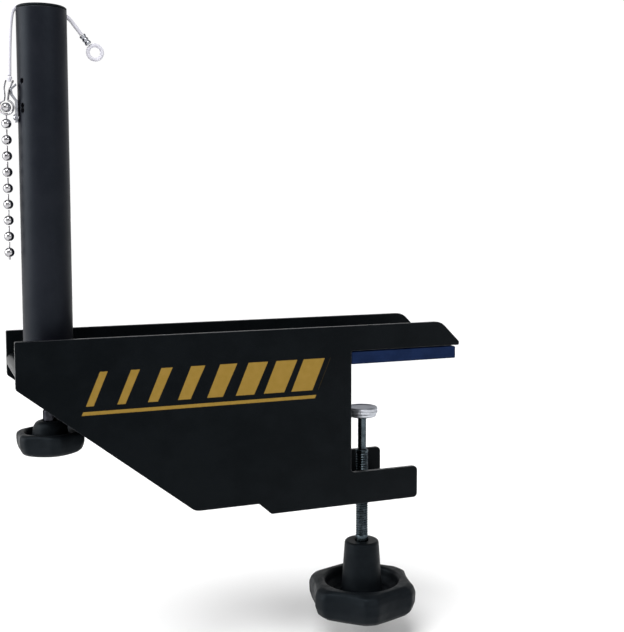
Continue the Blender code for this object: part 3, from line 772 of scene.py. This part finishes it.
def build_beads():
    """The chain: hollow beads with turned-in mouths, each with its link up to the bead above."""
    mouth = 0.0007
    for number in range(BEAD_COUNT + 1):
        centre = RING_Z - BEAD_PITCH * number
        profile = []
        if number:
            link_top = centre + BEAD_PITCH - BEAD_RADIUS - CLEARANCE
            inside = centre + BEAD_RADIUS - 0.0005
            profile += [(0.0, link_top), (LINK_RADIUS, link_top - 0.0001)]
            profile += [(LINK_RADIUS * 0.85, (link_top + inside) / 2)]
            profile += [(LINK_RADIUS, inside), (mouth - 0.00005, inside)]
        else:
            inside = centre + BEAD_RADIUS - 0.0004
            profile += [(0.0, inside), (mouth - 0.00005, inside)]
        first = math.asin(mouth / BEAD_RADIUS)
        rows = 22
        for row in range(rows + 1):
            angle = first + (math.pi - 2 * first) * row / rows
            seam = 1.0 - 0.012 * math.exp(-(((angle - math.pi / 2) / 0.05) ** 2))
            profile.append((BEAD_RADIUS * seam * math.sin(angle), centre + BEAD_RADIUS * math.cos(angle)))
        inside = centre - BEAD_RADIUS + 0.0005
        profile.append((mouth - 0.00005, inside))
        if number == BEAD_COUNT:
            low = centre - BEAD_RADIUS - 0.0011
            profile += [(LINK_RADIUS, inside), (LINK_RADIUS, low + 0.0001), (LINK_RADIUS - 0.0001, low)]
            profile.append((0.0, low))
        else:
            profile.append((0.0, inside))
        name = f"bead_{number}_look"
        mesh = turned_mesh(name, profile, (CHAIN_X, 0.0), 32)
        body = f"chain_{number}" if number else "post"
        settle(name, mesh, nickel, body, [f"bead_{number}"], 50.0)


# ---------------------------------------------------------------- screws, pad and knobs


def screw(name, node, body, rows, threads):
    """A round bar of (radius, z) points from the top down, threaded between two heights."""
    low_thread, high_thread = threads
    profile = []
    for (r0, z0), (r1, z1) in zip(rows, rows[1:]):
        if abs(z0 - z1) > 0.004 and r0 == r1:
            count = max(1, round((z0 - z1) / (THREAD_PITCH / 8)))
            profile += [(r0, z0 + (z1 - z0) * k / count) for k in range(count)]
        else:
            profile.append((r0, z0))
    profile.append(rows[-1])

    def cut_thread(r, z, angle):
        if r < SCREW_RADIUS - 1e-6:
            return r
        ease = min(1.0, max(0.0, (z - low_thread) / 0.001), max(0.0, (high_thread - z) / 0.001))
        turn = (z / THREAD_PITCH - angle / (2 * math.pi)) % 1.0
        vee = abs(2 * turn - 1)
        return r - THREAD_DEPTH * ease * min(1.0, max(0.0, vee * 1.25 - 0.12))

    x, finish = (POST_X, height_zinc) if body == "height_drive" else (CLAMP_X, zinc)
    mesh = turned_mesh(name, profile, (x, 0.0), 28, False, cut_thread)
    settle(name, mesh, finish, body, [node], 60.0)


def knob(name, node, body, x, profile, rim_start, radius, flute_depth, half_angle, first_ridge):
    """A star knob: its rim swells between the six flutes and keeps its rounded edges all round."""
    chord = radius * math.sin(half_angle)
    rise = flute_depth - radius * (1 - math.cos(half_angle))
    cutter = (chord**2 + rise**2) / (2 * rise)
    reach = radius - flute_depth + cutter

    def fluted(r, z, angle):
        if r <= rim_start:
            return r
        wrapped = (angle - first_ridge) % (math.pi / 3) - math.pi / 6
        inside = cutter**2 - (reach * math.sin(wrapped)) ** 2
        edge = reach * math.cos(wrapped) - math.sqrt(inside) if inside > 0 else radius
        soft = 0.0006
        gap = max(0.0, soft - abs(edge - radius)) / soft
        edge = min(edge, radius) - gap * gap * soft * 0.25
        return rim_start + (r - rim_start) * (edge - rim_start) / (radius - rim_start)

    mesh = turned_mesh(name, soften(profile, 0.0008, 4), (x, 0.0), 180, False, fluted)
    settle(name, mesh, plastic, body, [node], 45.0)


def build_height_drive():
    """The height screw and the small star knob under the post."""
    bore_end, top, bottom, radius = -0.0323, -0.0205, -0.035, 0.0158
    rim = top - 0.0047
    rows = [
        (0.0, 0.0545),
        (SCREW_RADIUS - 0.0006, 0.0545),
        (SCREW_RADIUS, 0.0539),
        (SCREW_RADIUS, bore_end + CLEARANCE),
        (0.0, bore_end + CLEARANCE),
    ]
    screw("height_screw_look", "height_screw", "height_drive", rows, (-0.0165, 0.0535))
    profile = [
        (0.0, bore_end),
        (SCREW_BORE, bore_end),
        (SCREW_BORE, top),
        (0.0048, top),
        (0.0064, top - 0.0007),
        (0.0075, top - 0.0024),
        (0.0081, top - 0.0066),
        (0.0088, top - 0.0078),
        (0.0106, top - 0.0078),
        (0.0112, rim - 0.0012),
        (0.0119, rim),
        (radius - 0.0016, rim),
        (radius - 0.0003, rim - 0.0009),
        (radius, rim - 0.0024),
        (radius - 0.0002, bottom + 0.0042),
        (radius - 0.0012, bottom + 0.0014),
        (radius - 0.0030, bottom),
        (0.0095, bottom),
        (0.0090, bottom + 0.0004),
        (0.0, bottom + 0.0004),
    ]
    knob(
        "height_knob_look", "height_knob", "height_drive", POST_X, profile,
        0.0119, radius, 0.0017, math.radians(22), math.radians(212),
    )


def build_clamp_pad():
    """The plated pressure pad on the clamp screw: a pressed disc with a rolled rim."""
    low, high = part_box("pressure_pad")
    pad = (high.x - low.x) / 2
    pocket = NECK_RADIUS + CLEARANCE
    profile = [
        (0.0, high.z - 0.0004),
        (pad - 0.0022, high.z - 0.0004),
        (pad - 0.0016, high.z),
        (pad - 0.0005, high.z),
        (pad, high.z - 0.0006),
        (pad, high.z - 0.0014),
        (pad - 0.0003, high.z - 0.0018),
        (pad, high.z - 0.0022),
        (pad, high.z - 0.0030),
        (pad - 0.0006, high.z - 0.0034),
        (pad - 0.0006, low.z + 0.0006),
        (pad - 0.0012, low.z),
        (pocket, low.z),
        (pocket, low.z + 0.0021),
        (0.0, low.z + 0.0021),
    ]
    mesh = turned_mesh("pressure_pad_look", soften(profile, 0.0002), (CLAMP_X, 0.0), 72)
    settle("pressure_pad_look", mesh, pad_zinc, "clamp_pad", ["pressure_pad"])


def build_clamp_drive():
    """The clamp screw with its turned neck, and the big star knob."""
    top, bottom, radius = -0.0964, -0.1327, 0.0287
    bore_end, neck_start, rim = bottom + 0.0027, -0.0483, top - 0.0205
    neck_end = -0.031 + 0.0021 - CLEARANCE
    rows = [
        (0.0, neck_end),
        (NECK_RADIUS, neck_end),
        (NECK_RADIUS, neck_start),
        (SCREW_RADIUS - 0.0005, neck_start),
        (SCREW_RADIUS, neck_start - 0.0005),
        (SCREW_RADIUS, bore_end + CLEARANCE),
        (0.0, bore_end + CLEARANCE),
    ]
    screw("clamp_screw_look", "clamp_screw", "clamp_drive", rows, (-0.0940, -0.0490))
    profile = [
        (0.0, bore_end),
        (SCREW_BORE, bore_end),
        (SCREW_BORE, top),
        (0.0081, top),
        (0.0089, top - 0.0008),
        (0.0106, rim - 0.0050),
        (0.0116, rim - 0.0072),
        (0.0165, rim - 0.0072),
        (0.0185, rim - 0.0045),
        (0.0192, rim - 0.0010),
        (0.0202, rim),
        (radius - 0.0040, rim),
        (radius - 0.0014, rim - 0.0012),
        (radius, rim - 0.0044),
        (radius - 0.0003, bottom + 0.0062),
        (radius - 0.0018, bottom + 0.0020),
        (radius - 0.0042, bottom),
        (0.0150, bottom),
        (0.0144, bottom + 0.0005),
        (0.0, bottom + 0.0005),
    ]
    knob(
        "clamp_knob_look", "clamp_knob", "clamp_drive", CLAMP_X, profile,
        0.0202, radius, 0.0034, math.radians(23), math.radians(256.5),
    )


build_bracket_details()
build_post()
build_cord()
build_coupling()
build_beads()
build_height_drive()
build_clamp_pad()
build_clamp_drive()


# ---------------------------------------------------------------- floor and light


def build_studio():
    """A pale floor below the knob's lowest reach, a white sweep behind, a dim room in front, soft lamps."""
    finish = Finish("pale_floor", 0.7, 0.0, 0.2)
    tone = finish.blend(finish.noise(3.0, 2.0), (0.90, 0.90, 0.90), (0.92, 0.92, 0.92))
    finish.paint(tone)
    mesh = bpy.data.meshes.new("floor")
    reach = 40.0
    height = cad_box[0].z - CLAMP_DROP - 0.0005
    corners = [(x * reach, y * reach, height) for x, y in ((-1, -1), (1, -1), (1, 1), (-1, 1))]
    mesh.from_pydata(corners, [], [(0, 1, 2, 3)])
    mesh.materials.append(finish.material)
    floor = bpy.data.objects.new("floor", mesh)
    bpy.context.scene.collection.objects.link(floor)

    world = bpy.data.worlds.new("studio")
    bpy.context.scene.world = world
    world.use_nodes = True
    tree = world.node_tree
    shade = tree.nodes["Background"]
    direction = tree.nodes.new("ShaderNodeTexCoord").outputs["Generated"]
    split = tree.nodes.new("ShaderNodeSeparateXYZ")
    tree.links.new(direction, split.inputs[0])
    strength = None
    for axis, numbers in (("Z", (0.35, 0.75, 1.02, 0.30)), ("Y", (-0.35, 0.55, 0.36, 1.0))):
        ramp = tree.nodes.new("ShaderNodeMapRange")
        ramp.interpolation_type = "SMOOTHSTEP"
        for socket, number in zip(ramp.inputs[1:5], numbers):
            socket.default_value = number
        tree.links.new(split.outputs[axis], ramp.inputs[0])
        if strength:
            both = tree.nodes.new("ShaderNodeMath")
            both.operation = "MULTIPLY"
            tree.links.new(strength, both.inputs[0])
            tree.links.new(ramp.outputs[0], both.inputs[1])
            strength = both.outputs[0]
        else:
            strength = ramp.outputs[0]
    tree.links.new(strength, shade.inputs["Strength"])
    shade.inputs["Color"].default_value = (1.0, 1.0, 1.0, 1.0)

    sun = bpy.data.lights.new("key", "SUN")
    sun.energy = 3.2
    sun.angle = math.radians(38)
    lamp = bpy.data.objects.new("key", sun)
    lamp.rotation_euler = Vector((0.45, 0.45, -1.0)).to_track_quat("-Z", "Y").to_euler()
    bpy.context.scene.collection.objects.link(lamp)
    for name, place, size, power in (
        ("left_box", (-1.3, 0.15, 0.35), 0.9, 14.0),
        ("front_box", (0.5, -1.5, 0.9), 1.1, 9.0),
    ):
        light = bpy.data.lights.new(name, "AREA")
        light.shape = "SQUARE"
        light.size = size
        light.energy = power
        lamp = bpy.data.objects.new(name, light)
        lamp.location = place
        aim = Vector((-0.10, 0.0, 0.02)) - Vector(place)
        lamp.rotation_euler = aim.to_track_quat("-Z", "Y").to_euler()
        bpy.context.scene.collection.objects.link(lamp)
    bpy.context.scene.view_settings.view_transform = "Standard"


build_studio()
